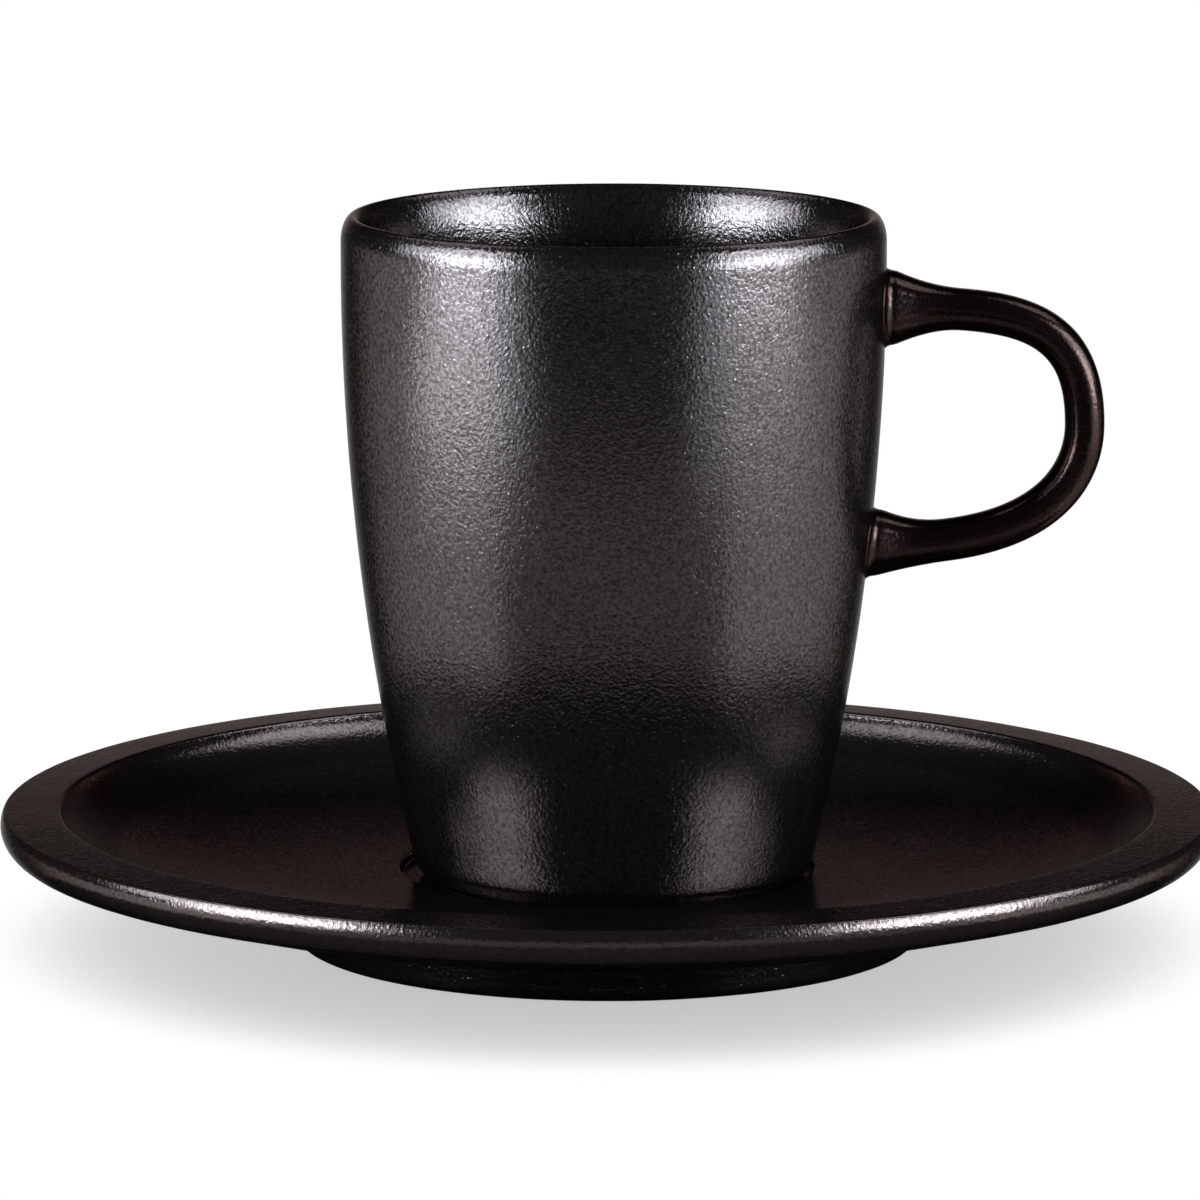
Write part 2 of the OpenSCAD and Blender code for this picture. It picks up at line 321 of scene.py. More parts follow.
def lustre_glaze(name, relief, roughness, shift, dark, pale):
    """Iron lustre glaze on stoneware, reduction fired: nearly black, with the satin sheen of metal.

    It dries in a fine grain with short wrinkles and tiny pimples, which scatter each highlight
    and are a little paler on top. It breaks to a redder brown, and shows more of its grain,
    where it runs thin over an edge. The wiped soles are bare clay.
    """
    made = bpy.data.materials.new(name)
    made.use_nodes = True
    tree = made.node_tree
    tree.nodes.clear()
    at = add_node(tree, "ShaderNodeTexCoord").outputs["Object"]
    at = add_node(tree, "ShaderNodeMapping", Vector=at, Location=shift)
    thin = add_node(tree, "ShaderNodeAttribute", {"attribute_name": "thin"}).outputs["Fac"]
    bare = add_node(tree, "ShaderNodeAttribute", {"attribute_name": "bare"}).outputs["Fac"]
    grain = add_node(
        tree, "ShaderNodeTexNoise", Vector=at, Scale=1000 / GRAIN, Detail=2.0, Roughness=0.55
    )
    wrinkle = add_node(
        tree,
        "ShaderNodeTexNoise",
        Vector=at,
        Scale=1000 / WRINKLE,
        Detail=3.0,
        Roughness=0.6,
        Distortion=0.8,
    )
    cloud = add_node(tree, "ShaderNodeTexNoise", Vector=at, Scale=1000 / CLOUD, Detail=2.0)
    cell = add_node(tree, "ShaderNodeTexVoronoi", Vector=at, Scale=1000 / PIMPLE_GAP)
    pimple = add_node(
        tree,
        "ShaderNodeMapRange",
        {"interpolation_type": "SMOOTHSTEP"},
        Value=cell,
        From_Min=PIMPLE_TOP_R / PIMPLE_GAP,
        From_Max=PIMPLE_FOOT_R / PIMPLE_GAP,
        To_Min=1.0,
        To_Max=0.0,
    )
    height = add_node(
        tree,
        "ShaderNodeMath",
        {"operation": "MULTIPLY_ADD"},
        i0=wrinkle,
        i1=WRINKLE_SHARE,
        i2=grain,
    )
    height = add_node(
        tree,
        "ShaderNodeMath",
        {"operation": "MULTIPLY_ADD"},
        i0=pimple,
        i1=PIMPLE_SHARE,
        i2=height,
    )
    strength = add_node(
        tree,
        "ShaderNodeMath",
        {"operation": "MULTIPLY_ADD"},
        i0=thin,
        i1=THIN_RELIEF,
        i2=COAT_RELIEF,
    )
    bump = add_node(
        tree, "ShaderNodeBump", Height=height, Strength=strength, Distance=2 * relief / 1000
    )
    tone = add_node(
        tree,
        "ShaderNodeMapRange",
        Value=grain,
        From_Min=NOISE_LOW,
        From_Max=NOISE_HIGH,
        To_Min=-0.1,
        To_Max=0.9,
    )
    tone = add_node(
        tree, "ShaderNodeMath", {"operation": "MULTIPLY_ADD"}, i0=cloud, i1=CLOUD_TONE, i2=tone
    )
    tone = add_node(
        tree,
        "ShaderNodeMath",
        {"operation": "MULTIPLY_ADD", "use_clamp": True},
        i0=pimple,
        i1=PIMPLE_TONE,
        i2=tone,
    )
    full = add_node(
        tree, "ShaderNodeMix", {"data_type": "RGBA"}, Factor=tone, A=linear(dark), B=linear(pale)
    )
    brown = add_node(
        tree, "ShaderNodeMix", {"data_type": "RGBA"}, Factor=thin, A=full, B=linear("#51403b")
    )
    colour = add_node(
        tree, "ShaderNodeMix", {"data_type": "RGBA"}, Factor=bare, A=brown, B=linear("#3d332d")
    )
    rough = add_node(
        tree,
        "ShaderNodeMapRange",
        Value=cloud,
        From_Min=NOISE_LOW,
        From_Max=NOISE_HIGH,
        To_Min=roughness - ROUGH_DRIFT,
        To_Max=roughness + ROUGH_DRIFT,
    )
    rough = add_node(
        tree, "ShaderNodeMath", {"operation": "MULTIPLY_ADD"}, i0=thin, i1=THIN_ROUGHER, i2=rough
    )
    rough = add_node(
        tree, "ShaderNodeMath", {"operation": "MULTIPLY_ADD"}, i0=bare, i1=BARE_ROUGHER, i2=rough
    )
    metal = add_node(tree, "ShaderNodeMapRange", Value=bare, To_Min=0.97, To_Max=0.0)
    skin = add_node(
        tree,
        "ShaderNodeBsdfPrincipled",
        Base_Color=colour,
        Roughness=rough,
        Metallic=metal,
        Normal=bump,
        Specular_Tint=linear("#6c6c6c"),
    )
    add_node(tree, "ShaderNodeOutputMaterial", Surface=skin)
    return made


def new_tree(name, sockets):
    """An empty geometry tree with its named inputs, and the sockets that they come in by."""
    tree = bpy.data.node_groups.new(name, "GeometryNodeTree")
    for title, kind in sockets.items():
        tree.interface.new_socket(title, in_out="INPUT", socket_type="NodeSocket" + kind)
    tree.interface.new_socket("Piece", in_out="OUTPUT", socket_type="NodeSocketGeometry")
    return tree, tree.nodes.new("NodeGroupInput").outputs


def net(tree, rows, columns):
    """A net of rows and columns that is ready to be laid on a piece, with its row and turn.

    The turn runs backward along a row, so that the faces point outward.
    """
    across = add_node(tree, "ShaderNodeMath", {"operation": "ADD"}, i0=columns, i1=1.0)
    grid = add_node(tree, "GeometryNodeMeshGrid", Vertices_X=rows, Vertices_Y=across)
    number = add_node(tree, "GeometryNodeInputIndex")
    row = add_node(tree, "ShaderNodeMath", {"operation": "ADD"}, i0=number, i1=0.5)
    row = add_node(tree, "ShaderNodeMath", {"operation": "DIVIDE"}, i0=row, i1=across)
    row = add_node(tree, "ShaderNodeMath", {"operation": "FLOOR"}, i0=row)
    first = add_node(tree, "ShaderNodeMath", {"operation": "MULTIPLY"}, i0=row, i1=across)
    column = add_node(tree, "ShaderNodeMath", {"operation": "SUBTRACT"}, i0=number, i1=first)
    turn = add_node(tree, "ShaderNodeMath", {"operation": "DIVIDE"}, i0=column, i1=columns)
    turn = add_node(tree, "ShaderNodeMath", {"operation": "MULTIPLY"}, i0=turn, i1=-math.tau)
    return grid.outputs["Mesh"], row, turn


def guide_value(tree, guide, row, name=None, kind="FLOAT_VECTOR"):
    """What the guide's point of this row carries under a name, or else its place."""
    if name:
        value = add_node(
            tree, "GeometryNodeInputNamedAttribute", {"data_type": kind}, Name=name
        ).outputs["Attribute"]
    else:
        value = add_node(tree, "GeometryNodeInputPosition").outputs["Position"]
    return add_node(
        tree,
        "GeometryNodeSampleIndex",
        {"data_type": kind, "domain": "POINT"},
        Geometry=guide,
        Value=value,
        Index=row,
    )


def finished(tree, shell, depth, waves, glaze):
    """Closes the seam and the poles, gives the clay its slight waves, and puts the glaze on."""
    shell = add_node(
        tree, "GeometryNodeMergeByDistance", Geometry=shell, Distance=SEAM_GAP / 1000
    )
    place = add_node(tree, "GeometryNodeInputPosition")
    noise = add_node(tree, "ShaderNodeTexNoise", Vector=place, Scale=waves, Detail=1.0)
    wave = add_node(tree, "ShaderNodeMath", {"operation": "SUBTRACT"}, i0=noise, i1=0.5)
    wave = add_node(tree, "ShaderNodeMath", {"operation": "MULTIPLY"}, i0=wave, i1=depth)
    normal = add_node(tree, "GeometryNodeInputNormal").outputs["Normal"]
    push = add_node(tree, "ShaderNodeVectorMath", {"operation": "SCALE"}, i0=normal, Scale=wave)
    shell = add_node(tree, "GeometryNodeSetPosition", Geometry=shell, Offset=push)
    shell = add_node(tree, "GeometryNodeSetShadeSmooth", Geometry=shell)
    shell = add_node(tree, "GeometryNodeRealizeInstances", Geometry=shell)
    shell = add_node(tree, "GeometryNodeSetMaterial", Geometry=shell, Material=glaze)
    add_node(tree, "NodeGroupOutput", Piece=shell)


def turned_tree():
    """Turns an outline once round the axis, as on a wheel, and keeps the glaze that it carries."""
    tree, given = new_tree(
        "turned piece",
        {
            "Outline": "Geometry",
            "Points in outline": "Int",
            "Divisions in a turn": "Int",
            "Place of axis": "Vector",
            "Depth of waves": "Float",
            "Waves in a metre": "Float",
            "Glaze": "Material",
        },
    )
    outline = given["Outline"]
    shell, row, turn = net(tree, given["Points in outline"], given["Divisions in a turn"])
    point = guide_value(tree, outline, row)
    place = add_node(
        tree, "ShaderNodeVectorRotate", {"rotation_type": "Z_AXIS"}, Vector=point, Angle=turn
    )
    place = add_node(
        tree, "ShaderNodeVectorMath", {"operation": "ADD"}, i0=place, i1=given["Place of axis"]
    )
    for name in ("thin", "bare"):
        shell = add_node(
            tree,
            "GeometryNodeStoreNamedAttribute",
            {"data_type": "FLOAT", "domain": "POINT"},
            Geometry=shell,
            Name=name,
            Value=guide_value(tree, outline, row, name, "FLOAT"),
        )
    shell = add_node(tree, "GeometryNodeSetPosition", Geometry=shell, Position=place)
    finished(tree, shell, given["Depth of waves"], given["Waves in a metre"], given["Glaze"])
    return tree


def dressed(name, tree, points, carried, inputs):
    """A plain mesh object from a node tree: the guide goes in, and the finished piece comes out."""
    guide_mesh = bpy.data.meshes.new(name + " guide")
    guide_mesh.from_pydata(points, [(i, i + 1) for i in range(len(points) - 1)], [])
    for title, values in carried.items():
        if isinstance(values[0], tuple):
            layer = guide_mesh.attributes.new(title, "FLOAT_VECTOR", "POINT")
            layer.data.foreach_set("vector", [part for value in values for part in value])
        else:
            layer = guide_mesh.attributes.new(title, "FLOAT", "POINT")
            layer.data.foreach_set("value", values)
    guide = bpy.data.objects.new(name + " guide", guide_mesh)
    bpy.context.scene.collection.objects.link(guide)
    modifier = guide.modifiers.new("shape", "NODES")
    modifier.node_group = tree
    for socket in tree.interface.items_tree:
        if socket.in_out == "INPUT" and socket.name in inputs:
            modifier[socket.identifier] = inputs[socket.name]
    bpy.context.view_layer.update()
    graph = bpy.context.evaluated_depsgraph_get()
    mesh = bpy.data.meshes.new_from_object(
        guide.evaluated_get(graph), preserve_all_data_layers=True, depsgraph=graph
    )
    mesh.name = name
    bpy.data.objects.remove(guide)
    bpy.data.meshes.remove(guide_mesh)
    made = bpy.data.objects.new(name, mesh)
    bpy.context.scene.collection.objects.link(made)
    return made


turned = turned_tree()


def turned_piece(name, outline, divisions, axis_x, base_h, glaze):
    """A round piece from its outline of (radius, height), turned round an upright axis."""
    outline = stepped(outline, LONGEST_SPAN)
    return dressed(
        name,
        turned,
        [(r / 1000, 0, (h + base_h) / 1000) for r, h, thin, bare in outline],
        {"thin": [p[2] for p in outline], "bare": [p[3] for p in outline]},
        {
            "Points in outline": len(outline),
            "Divisions in a turn": divisions,
            "Place of axis": (axis_x / 1000, 0, 0),
            "Depth of waves": WAVE_DEPTH / 1000,
            "Waves in a metre": WAVES_IN_A_METRE,
            "Glaze": glaze,
        },
    )


# The saucer has the cup's glaze, drawn paler here: painted light, which brightens all of the
# saucer's reflections
saucer_glaze = lustre_glaze(
    "iron lustre glaze, saucer",
    relief=0.042,
    roughness=0.12,
    shift=(0.0, 0.0, 0.0),
    dark="#635d5b",
    pale="#8b8583",
)
saucer = turned_piece(
    "saucer_glazed",
    foot_outline() + lip_outline() + dish_outline(),
    SAUCER_DIVISIONS,
    0,
    0,
    saucer_glaze,
)
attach(saucer, "saucer")
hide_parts("saucer")

# Cup body
# The cup is cast or jiggered in one piece with its foot ring, then its rim is rounded with a
# wet sponge. The foot stands loose in the saucer's well, a little toward the handle.

CUP_R = packed_size(cup_high[1] - cup_low[1]) / 2
CUP_H = packed_size(cup_high[2] - cup_low[2])
CUP_SHIFT = packed_size(cup_high[0] + cup_low[0]) / 2
WIDEST_DROP = 6.5
WIDEST_H = CUP_H - WIDEST_DROP
HEEL_R = 28.3
HEEL_H = 3.6
HEEL_PULL_SHARE = 0.32
CUP_FOOT_R = 26.4
CUP_FOOT_W = 3.2
CUP_FOOT_EDGE_R = 0.5
CUP_FOOT_RECESS = 1.4
CUP_RECESS_CORNER_R = 0.4
CUP_WALL = 4.1
RIM_TOP_IN = 1.7
RIM_OUTER_H = 3.6
RIM_INNER_H = 9.0
CUP_BASE_T = 5.2
CUP_CORNER_R = 11.0
WALL_ARC_R = ((WIDEST_H - HEEL_H) ** 2 + (CUP_R - HEEL_R) ** 2) / (2 * (CUP_R - HEEL_R))
WALL_CENTRE = (CUP_R - WALL_ARC_R, WIDEST_H)

# Between which angles of the rim's two ovals the glaze has run thin, with the turn over which it
# thickens again, and how far up its outside the sole is wiped, in degrees
RIM_THIN_FROM = 50
RIM_THIN_TO = 112
RIM_FADE = 4
CUP_SOLE_TURN = 45

# Spans in each arc and curve of the outline
CUP_RECESS_STEPS = 6
CUP_SOLE_STEPS = 5
HEEL_STEPS = 16
WALL_STEPS = 80
RIM_STEPS = 14
RIM_TOP_STEPS = 12
RIM_INNER_STEPS = 28
INNER_WALL_STEPS = 64
CORNER_STEPS = 20
CUP_DIVISIONS = 216


def wall_r(h):
    """Radius of the cup's outer wall at a height above its foot."""
    return WALL_CENTRE[0] + math.sqrt(WALL_ARC_R**2 - (h - WALL_CENTRE[1]) ** 2)


def cup_outside():
    """The hollow under the cup, its foot ring, its heel and its wall, up to the rim."""
    ring_in = CUP_FOOT_R - CUP_FOOT_W
    recess_corner = (ring_in - CUP_RECESS_CORNER_R, CUP_FOOT_RECESS - CUP_RECESS_CORNER_R)
    inner_edge = (ring_in + CUP_FOOT_EDGE_R, CUP_FOOT_EDGE_R)
    outer_edge = (CUP_FOOT_R - CUP_FOOT_EDGE_R, CUP_FOOT_EDGE_R)
    wiped_to = 270 + CUP_SOLE_TURN
    sole = arc(outer_edge, CUP_FOOT_EDGE_R, 270, wiped_to, CUP_SOLE_STEPS)
    wall_angle = math.asin((WIDEST_H - HEEL_H) / WALL_ARC_R)
    heel_corner = (
        HEEL_R - HEEL_H * (1 - HEEL_PULL_SHARE) * math.tan(wall_angle),
        HEEL_H * HEEL_PULL_SHARE,
    )
    heel = curve([sole[-1], heel_corner, (HEEL_R, HEEL_H)], HEEL_STEPS)
    corner = arc(recess_corner, CUP_RECESS_CORNER_R, 90, 0, CUP_RECESS_STEPS)
    return (
        coat([(0, CUP_FOOT_RECESS), (recess_corner[0], CUP_FOOT_RECESS)], thin=0.5)
        + coat(corner[1:], thin=0.8)
        + coat(arc(inner_edge, CUP_FOOT_EDGE_R, 180, 270, EDGE_STEPS), bare=1.0)
        + coat(sole, bare=1.0)
        + coat(heel[1:], thin=0.3)
        + coat(arc(WALL_CENTRE, WALL_ARC_R, -math.degrees(wall_angle), 0, WALL_STEPS)[1:])
    )


def cup_inside():
    """The rim, the wall's inner side and the floor inside the cup."""
    inner_r = WALL_ARC_R - CUP_WALL
    corner_run = inner_r - CUP_CORNER_R
    corner_angle = math.asin((WIDEST_H - CUP_BASE_T - CUP_CORNER_R) / corner_run)
    corner_centre = (
        WALL_CENTRE[0] + corner_run * math.cos(corner_angle),
        WALL_CENTRE[1] - corner_run * math.sin(corner_angle),
    )
    corner_start = -math.degrees(corner_angle)
    wall_angle = math.asin((RIM_INNER_H - CUP_H + WIDEST_H) / inner_r)
    wall_start = -math.degrees(wall_angle)
    top_r = CUP_R - RIM_TOP_IN
    outer_centre = (top_r, CUP_H - RIM_OUTER_H)
    outer = (RIM_TOP_IN, RIM_OUTER_H)
    inner_centre = (top_r, CUP_H - RIM_INNER_H)
    inner = (top_r - WALL_CENTRE[0] - inner_r * math.cos(wall_angle), RIM_INNER_H)
    return (
        coat(arc(outer_centre, outer, 0, RIM_THIN_FROM - RIM_FADE, RIM_STEPS))
        + coat(arc(outer_centre, outer, RIM_THIN_FROM, 90, RIM_STEPS), thin=0.4)
        + coat(arc(inner_centre, inner, 90, RIM_THIN_TO, RIM_TOP_STEPS), thin=0.4)
        + coat(arc(inner_centre, inner, RIM_THIN_TO + RIM_FADE, 180, RIM_INNER_STEPS))
        + coat(arc(WALL_CENTRE, inner_r, wall_start, corner_start, INNER_WALL_STEPS)[1:])
        + coat(arc(corner_centre, CUP_CORNER_R, corner_start, -90, CORNER_STEPS)[1:])
        + coat([(0, CUP_BASE_T)])
    )


cup_glaze = lustre_glaze(
    "iron lustre glaze, cup",
    relief=0.068,
    roughness=0.14,
    shift=(0.31, 0.17, 0.0),
    dark="#4d4846",
    pale="#7e7977",
)
cup_body = turned_piece(
    "cup_body_glazed",
    cup_outside() + cup_inside(),
    CUP_DIVISIONS,
    CUP_SHIFT,
    WELL_H,
    cup_glaze,
)
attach(cup_body, "cup")
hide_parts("cup_body")

# Handle
# A strap of clay, cast by itself and bent in a loop, with a flare at each end. It is luted to
# the leather-hard cup with slip, which is wiped to a collar with a sharp outer edge.

HANDLE_REACH = 30.5
ARM_DROP = 13.0
ARM_GAP = 33.0
ARM_T = 5.8
GRIP_T = 5.5
HANDLE_W = 7.6
SQUARENESS = 2.5
UPPER_FLARE = 4.6
LOWER_FLARE = 3.4
FLARE_W = 3.0
FLARE_L = 9.3
COLLAR_L = 1.3
COLLAR_SPREAD = 1.3
COLLAR_RISE = 0.4
COLLAR_SOFT = 0.5
PATH_START_IN = 1.2
SUNK = 0.15
SETTLED_L = 7.0

# How the middle line bends, as shares of the reach and of the gap between the arms, and how
# sharply the flares, the collars and the change in thickness come on
UPPER_PULL_SHARE = 0.57
LOWER_PULL_SHARE = 0.86
LOWER_DIP_SHARE = 0.045
LOWER_SHOULDER_SHARE = 0.38
OUTERMOST_SHARE = 0.5
FLARE_POWER = 2
COLLAR_POWER = 3
THICKNESS_POWER = 2

# Distances from the wall at which the rings lie close, to follow the collar and the flare
CLOSE_STEPS = (
    0, 0.12, 0.27, 0.45, 0.7, 0.95, 1.15, 1.3,
    1.45, 1.7, 2.1, 2.6, 3.2, 3.9, 4.7, 5.6,
)
LOOP_STEPS = 44
RING_POINTS = 72

# Share of its path in which an arm only runs outward
OUTWARD_SHARE = 0.5

# The waves of the strap are shorter and shallower than those of the round pieces
STRAP_WAVE_DEPTH = 0.05
STRAP_WAVES_IN_A_METRE = 120.0

# The cup's wall is felt for along -X, from this far beyond the handle's point and this deep
FEELER_START = 50.0
FEELER_L = 200.0


def share_at(path, reach):
    """How far along its path an arm has got when it is that far from the cup's axis."""
    low, high = 0.0, OUTWARD_SHARE
    for _ in range(40):
        middle = (low + high) / 2
        if pulled(path, middle)[0] < reach:
            low = middle
        else:
            high = middle
    return low


def arm_rings(path, wall, far, flare):
    """The rings of one arm, from the wall to the outermost point of the loop."""
    shares = [share_at(path, wall + step) for step in (-SUNK,) + CLOSE_STEPS]
    left = 1 - shares[-1]
    shares += [shares[-1] + left * i / LOOP_STEPS for i in range(1, LOOP_STEPS + 1)]
    rings = []
    for t in shares:
        middle = pulled(path, t)
        slope = pulled([(b[0] - a[0], b[1] - a[1]) for a, b in zip(path, path[1:])], t)
        length = math.hypot(*slope)
        out = middle[0] - wall
        thick = ARM_T + (GRIP_T - ARM_T) * max(0, out / (far - wall)) ** THICKNESS_POWER
        beyond = (out - COLLAR_L + math.hypot(out - COLLAR_L, COLLAR_SOFT)) / 2
        flared = max(0, 1 - beyond / FLARE_L) ** FLARE_POWER
        collar = max(0, 1 - max(0, out) / COLLAR_L) ** COLLAR_POWER
        rings.append(
            {
                "middle": (middle[0], 0, middle[1]),
                "across": (-slope[1] / length, 0, slope[0] / length),
                "half thickness": (thick + flare * flared) / 2 + COLLAR_RISE * collar,
                "half width": (HANDLE_W + FLARE_W * flared) / 2 + COLLAR_SPREAD * collar,
                "from wall": out if t < OUTWARD_SHARE else far,
            }
        )
    return rings


def handle_rings():
    """The rings of the whole strap, from the upper arm's end on the wall to the lower arm's."""
    upper_h = CUP_H - ARM_DROP
    lower_h = upper_h - ARM_GAP
    upper_wall = wall_r(upper_h)
    lower_wall = wall_r(lower_h)
    far = upper_wall + HANDLE_REACH - GRIP_T / 2
    far_h = lower_h + ARM_GAP * OUTERMOST_SHARE
    upper = [
        (upper_wall - PATH_START_IN, upper_h),
        (upper_wall + UPPER_PULL_SHARE * (far - upper_wall), upper_h),
        (far, upper_h),
        (far, far_h),
    ]
    lower = [
        (lower_wall - PATH_START_IN, lower_h),
        (lower_wall + LOWER_PULL_SHARE * (far - lower_wall), lower_h - LOWER_DIP_SHARE * ARM_GAP),
        (far, far_h - LOWER_SHOULDER_SHARE * (far_h - lower_h)),
        (far, far_h),
    ]
    rings = arm_rings(upper, upper_wall, far, UPPER_FLARE)
    back = arm_rings(lower, lower_wall, far, LOWER_FLARE)[-2::-1]
    for ring in back:
        ring["across"] = tuple(-part for part in ring["across"])
    rings += back
    closed = [dict(ring) for ring in (rings[0], rings[-1])]
    for ring in closed:
        ring["half thickness"] = ring["half width"] = 0.0
    return closed[:1] + rings + closed[1:]


def signed_power(tree, value, power):
    """A number raised to a power with its sign kept."""
    size = add_node(tree, "ShaderNodeMath", {"operation": "ABSOLUTE"}, i0=value)
    size = add_node(tree, "ShaderNodeMath", {"operation": "POWER"}, i0=size, i1=power)
    sign = add_node(tree, "ShaderNodeMath", {"operation": "SIGN"}, i0=value)
    return add_node(tree, "ShaderNodeMath", {"operation": "MULTIPLY"}, i0=size, i1=sign)


def handle_tree():
    """Lays a squarish ring at each point of the guide, and settles the end rings on the cup."""
    tree, given = new_tree(
        "luted strap handle",
        {
            "Guide": "Geometry",
            "Rings": "Int",
            "Points round a ring": "Int",
            "Squareness": "Float",
            "Cup": "Object",
            "Settled length": "Float",
            "Depth of waves": "Float",
            "Waves in a metre": "Float",
            "Glaze": "Material",
        },
    )
    guide = given["Guide"]
    shell, row, turn = net(tree, given["Rings"], given["Points round a ring"])
    power = add_node(
        tree, "ShaderNodeMath", {"operation": "DIVIDE"}, i0=2.0, i1=given["Squareness"]
    )
    sine = add_node(tree, "ShaderNodeMath", {"operation": "SINE"}, i0=turn)
    cosine = add_node(tree, "ShaderNodeMath", {"operation": "COSINE"}, i0=turn)
    up = add_node(
        tree,
        "ShaderNodeMath",
        {"operation": "MULTIPLY"},
        i0=signed_power(tree, sine, power),
        i1=guide_value(tree, guide, row, "half thickness", "FLOAT"),
    )
    side = add_node(
        tree,
        "ShaderNodeMath",
        {"operation": "MULTIPLY"},
        i0=signed_power(tree, cosine, power),
        i1=guide_value(tree, guide, row, "half width", "FLOAT"),
    )
    middle = guide_value(tree, guide, row)
    across = guide_value(tree, guide, row, "across")
    lift = add_node(tree, "ShaderNodeVectorMath", {"operation": "SCALE"}, i0=across, Scale=up)
    place = add_node(tree, "ShaderNodeVectorMath", {"operation": "ADD"}, i0=middle, i1=lift)
    sideways = add_node(tree, "ShaderNodeCombineXYZ", Y=side)
    place = add_node(tree, "ShaderNodeVectorMath", {"operation": "ADD"}, i0=place, i1=sideways)
    start = add_node(
        tree,
        "ShaderNodeVectorMath",
        {"operation": "ADD"},
        i0=place,
        i1=(FEELER_START / 1000, 0, 0),
    )
    cup = add_node(tree, "GeometryNodeObjectInfo", Object=given["Cup"]).outputs["Geometry"]
    hit = add_node(
        tree,
        "GeometryNodeRaycast",
        Target_Geometry=cup,
        Source_Position=start,
        Ray_Direction=(-1, 0, 0),
        Ray_Length=FEELER_L / 1000,
    ).outputs["Hit Position"]
    from_wall = guide_value(tree, guide, row, "from wall", "FLOAT")
    off = add_node(tree, "ShaderNodeCombineXYZ", X=from_wall)
    settled = add_node(tree, "ShaderNodeVectorMath", {"operation": "ADD"}, i0=hit, i1=off)
    share = add_node(
        tree,
        "ShaderNodeMapRange",
        {"interpolation_type": "SMOOTHSTEP"},
        Value=from_wall,
        From_Min=0.0,
        From_Max=given["Settled length"],
        To_Min=1.0,
        To_Max=0.0,
    )
    place = add_node(
        tree, "ShaderNodeMix", {"data_type": "VECTOR"}, Factor=share, A=place, B=settled
    )
    shell = add_node(tree, "GeometryNodeSetPosition", Geometry=shell, Position=place)
    finished(tree, shell, given["Depth of waves"], given["Waves in a metre"], given["Glaze"])
    return tree


strap = handle_rings()
# The handle has the cup's glaze, drawn darker and redder here. The redder tone is its thinner coat.
# The darker tone is painted shade, which dims all of the strap's reflections
handle_glaze = lustre_glaze(
    "iron lustre glaze, handle",
    relief=0.035,
    roughness=0.17,
    shift=(0.31, 0.17, 0.0),
    dark="#3b302c",
    pale="#4d403b",
)
handle = dressed(
    "cup_handle_glazed",
    handle_tree(),
    [
        ((ring["middle"][0] + CUP_SHIFT) / 1000, 0, (ring["middle"][2] + WELL_H) / 1000)
        for ring in strap
    ],
    {
        "across": [ring["across"] for ring in strap],
        "half thickness": [ring["half thickness"] / 1000 for ring in strap],
        "half width": [ring["half width"] / 1000 for ring in strap],
        "from wall": [ring["from wall"] / 1000 for ring in strap],
    },
    {
        "Rings": len(strap),
        "Points round a ring": RING_POINTS,
        "Squareness": SQUARENESS,
        "Cup": cup_body,
        "Settled length": SETTLED_L / 1000,
        "Depth of waves": STRAP_WAVE_DEPTH / 1000,
        "Waves in a metre": STRAP_WAVES_IN_A_METRE,
        "Glaze": handle_glaze,
    },
)
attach(handle, "cup")
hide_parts("cup_handle")

# Studio
# A white table sheet under the set in a dim room, with soft boxes on each side in front of it,
# panels that lie on the table below them, and a sheet of warm light behind. Cards on the table
# darken what the glaze mirrors. The studio's own lengths are in metres.

TABLE_SIZE = 9
TABLE_BACK = 2.4
SHADOW_REACH = 0.028
ROOM_LIGHT = 0.03
CARD_H = 0.002
CARD_STEPS = 24

# Height of the point on the cup that the soft boxes face and stand round
AIM_H = 0.05

# Name of each soft box, how far round from the camera's side and how high it stands, in degrees,
# how far off, its width and height, and how bright its face is on the left and on the right
SOFT_BOXES = (
    ("side box", 64, 10.5, 1.0, (0.58, 0.37), (11.0, 9.8)),
    ("middle box", 66, 25.5, 1.0, (0.5, 0.16), (3.8, 4.4)),
    ("upper box", 66, 36, 1.0, (0.5, 0.21), (5.5, 5.5)),
    ("outer box", 90, 19, 1.0, (0.31, 0.38), (3.8, 3.8)),
    ("rear box", 117, 55, 1.0, (0.5, 0.4), (1.4, 1.9)),
    ("inner box", 43, 10.5, 1.0, (0.19, 0.37), (1.3, 2.0)),
    ("table panel", 66, -4.0, 0.62, (0.34, 0.62), (2.7, 0.9)),
    ("inner table panel", 43, -4.0, 0.62, (0.12, 0.62), (0.91, 1.4)),
)

# The camera stands where the photograph's did, and looks down by this many degrees
CAMERA_PLACE = (-0.0010, -1.1002, 0.23794)
CAMERA_DOWN = 9.8076
CAMERA_LENS = 239.6
CAMERA_SENSOR = 36


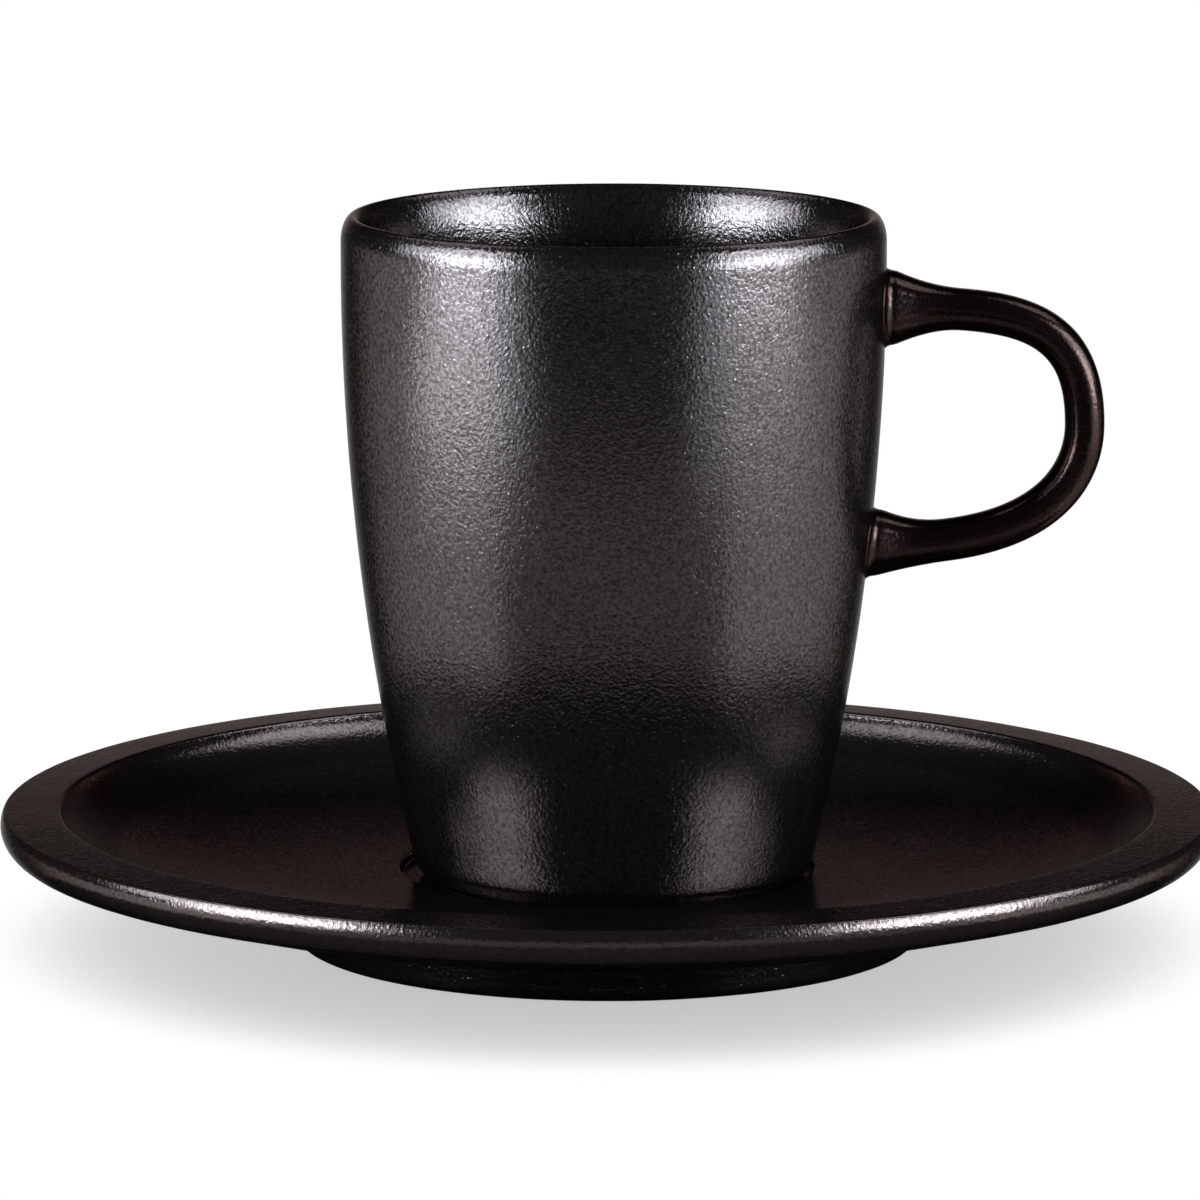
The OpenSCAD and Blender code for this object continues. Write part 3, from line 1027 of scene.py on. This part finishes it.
def table_sheet():
    """The table's top is a plain white sheet, seen at full white, with the set's soft shadow.

    The glaze mirrors it dimmer, and dark close to the set.
    """
    made = bpy.data.materials.new("white table sheet")
    made.use_nodes = True
    tree = made.node_tree
    tree.nodes.clear()
    rays = add_node(tree, "ShaderNodeLightPath").outputs
    mirrored = add_node(
        tree,
        "ShaderNodeMath",
        {"operation": "MAXIMUM"},
        i0=rays["Is Glossy Ray"],
        i1=rays["Is Transmission Ray"],
    )
    seen = add_node(
        tree, "ShaderNodeMath", {"operation": "MAXIMUM"}, i0=rays["Is Camera Ray"], i1=mirrored
    )
    # The set's shadow is painted into the sheet's glow: it dims where the set covers it, softly as
    # seen and deeply in the glaze's reflections
    cover = add_node(
        tree, "ShaderNodeAmbientOcclusion", {"samples": 8}, Distance=SHADOW_REACH
    ).outputs["AO"]
    soft = add_node(
        tree,
        "ShaderNodeMapRange",
        Value=cover,
        From_Min=0.0,
        From_Max=0.6,
        To_Min=0.5,
        To_Max=1.0,
    )
    deep = add_node(
        tree,
        "ShaderNodeMapRange",
        Value=cover,
        From_Min=0.35,
        From_Max=1.0,
        To_Min=0.0,
        To_Max=0.62,
    )
    shade = add_node(
        tree, "ShaderNodeMix", {"data_type": "FLOAT"}, Factor=mirrored, A=soft, B=deep
    )
    white = add_node(tree, "ShaderNodeEmission", Strength=shade)
    plain = add_node(tree, "ShaderNodeBsdfDiffuse", Color=linear("#e8e8e8"))
    both = add_node(tree, "ShaderNodeMixShader", Fac=seen, i1=plain, i2=white)
    add_node(tree, "ShaderNodeOutputMaterial", Surface=both)
    return made


bpy.ops.mesh.primitive_plane_add(size=TABLE_SIZE, location=(0, TABLE_BACK, 0))
table = bpy.context.object
table.name = "table"
table.data.materials.append(table_sheet())

world = bpy.data.worlds.new("dim room")
bpy.context.scene.world = world
world.use_nodes = True
world.node_tree.nodes["Background"].inputs["Color"].default_value = linear("#ffffff")
world.node_tree.nodes["Background"].inputs["Strength"].default_value = ROOM_LIGHT


def card(name, near, far, spread, colour):
    """A matt paper card on the table in front of the set, which only its reflections show.

    It is part of a ring, from near to far and by the spread, in degrees, to each side.
    """
    turns = [math.radians(spread * (2 * i / CARD_STEPS - 1)) for i in range(CARD_STEPS + 1)]
    corners = [(far * math.sin(t), -far * math.cos(t)) for t in turns]
    corners += [(near * math.sin(t), -near * math.cos(t)) for t in turns[::-1]]
    last = len(corners) - 1
    mesh = bpy.data.meshes.new(name)
    faces = [(i, i + 1, last - 1 - i, last - i) for i in range(CARD_STEPS)]
    mesh.from_pydata([(x, y, CARD_H) for x, y in corners], [], faces)
    made = bpy.data.objects.new(name, mesh)
    bpy.context.scene.collection.objects.link(made)
    made.visible_camera = False
    made.visible_shadow = False
    made.visible_diffuse = False
    paper = bpy.data.materials.new(name)
    paper.use_nodes = True
    paper.node_tree.nodes["Principled BSDF"].inputs["Base Color"].default_value = linear(colour)
    paper.node_tree.nodes["Principled BSDF"].inputs["Specular IOR Level"].default_value = 0.0
    mesh.materials.append(paper)


# The near card is painted shade: a dark sheet, seen only in the glaze's reflections, where the
# table lies in the saucer's shade
card("near card", near=0.05, far=0.115, spread=84, colour="#4a4442")
card("grey card", near=0.115, far=0.3, spread=48, colour="#8c827e")
card("black card", near=0.3, far=1.4, spread=48, colour="#0d0d0d")


def soft_box(name, turn, elevation, distance, size, brightness, colour="#ebf2ff"):
    """A soft box that faces the cup or, where it lies on the table below that, faces up."""
    lamp = bpy.data.lights.new(name, "AREA")
    lamp.shape = "RECTANGLE"
    lamp.size, lamp.size_y = size
    lamp.energy = brightness * math.pi * size[0] * size[1]
    lamp.color = linear(colour)[:3]
    made = bpy.data.objects.new(name, lamp)
    turn = math.radians(turn)
    level = math.cos(math.radians(elevation))
    rise = math.sin(math.radians(elevation))
    back = Vector((math.sin(turn) * level, -math.cos(turn) * level, rise))
    made.location = Vector((0, 0, AIM_H)) + back * distance
    if elevation < 0:
        made.rotation_euler = (math.pi, 0, turn)
    else:
        made.rotation_euler = (-back).to_track_quat("-Z", "Y").to_euler()
    made.visible_camera = False
    bpy.context.scene.collection.objects.link(made)


for hand, side in enumerate((-1, 1)):
    for name, turn, elevation, distance, size, brightness in SOFT_BOXES:
        soft_box(name, side * turn, elevation, distance, size, brightness[hand])
soft_box("back sheet", 180, 7.7, 1.5, (2.2, 0.4), 0.85, "#ffe5dc")

camera_data = bpy.data.cameras.new("camera")
camera_data.lens = CAMERA_LENS
camera_data.sensor_width = CAMERA_SENSOR
camera_data.clip_start = 0.05
camera_data.clip_end = 50
camera = bpy.data.objects.new("camera", camera_data)
camera.location = CAMERA_PLACE
camera.rotation_euler = (math.radians(90 - CAMERA_DOWN), 0, 0)
bpy.context.scene.collection.objects.link(camera)
bpy.context.scene.camera = camera
bpy.context.scene.view_settings.view_transform = "Standard"
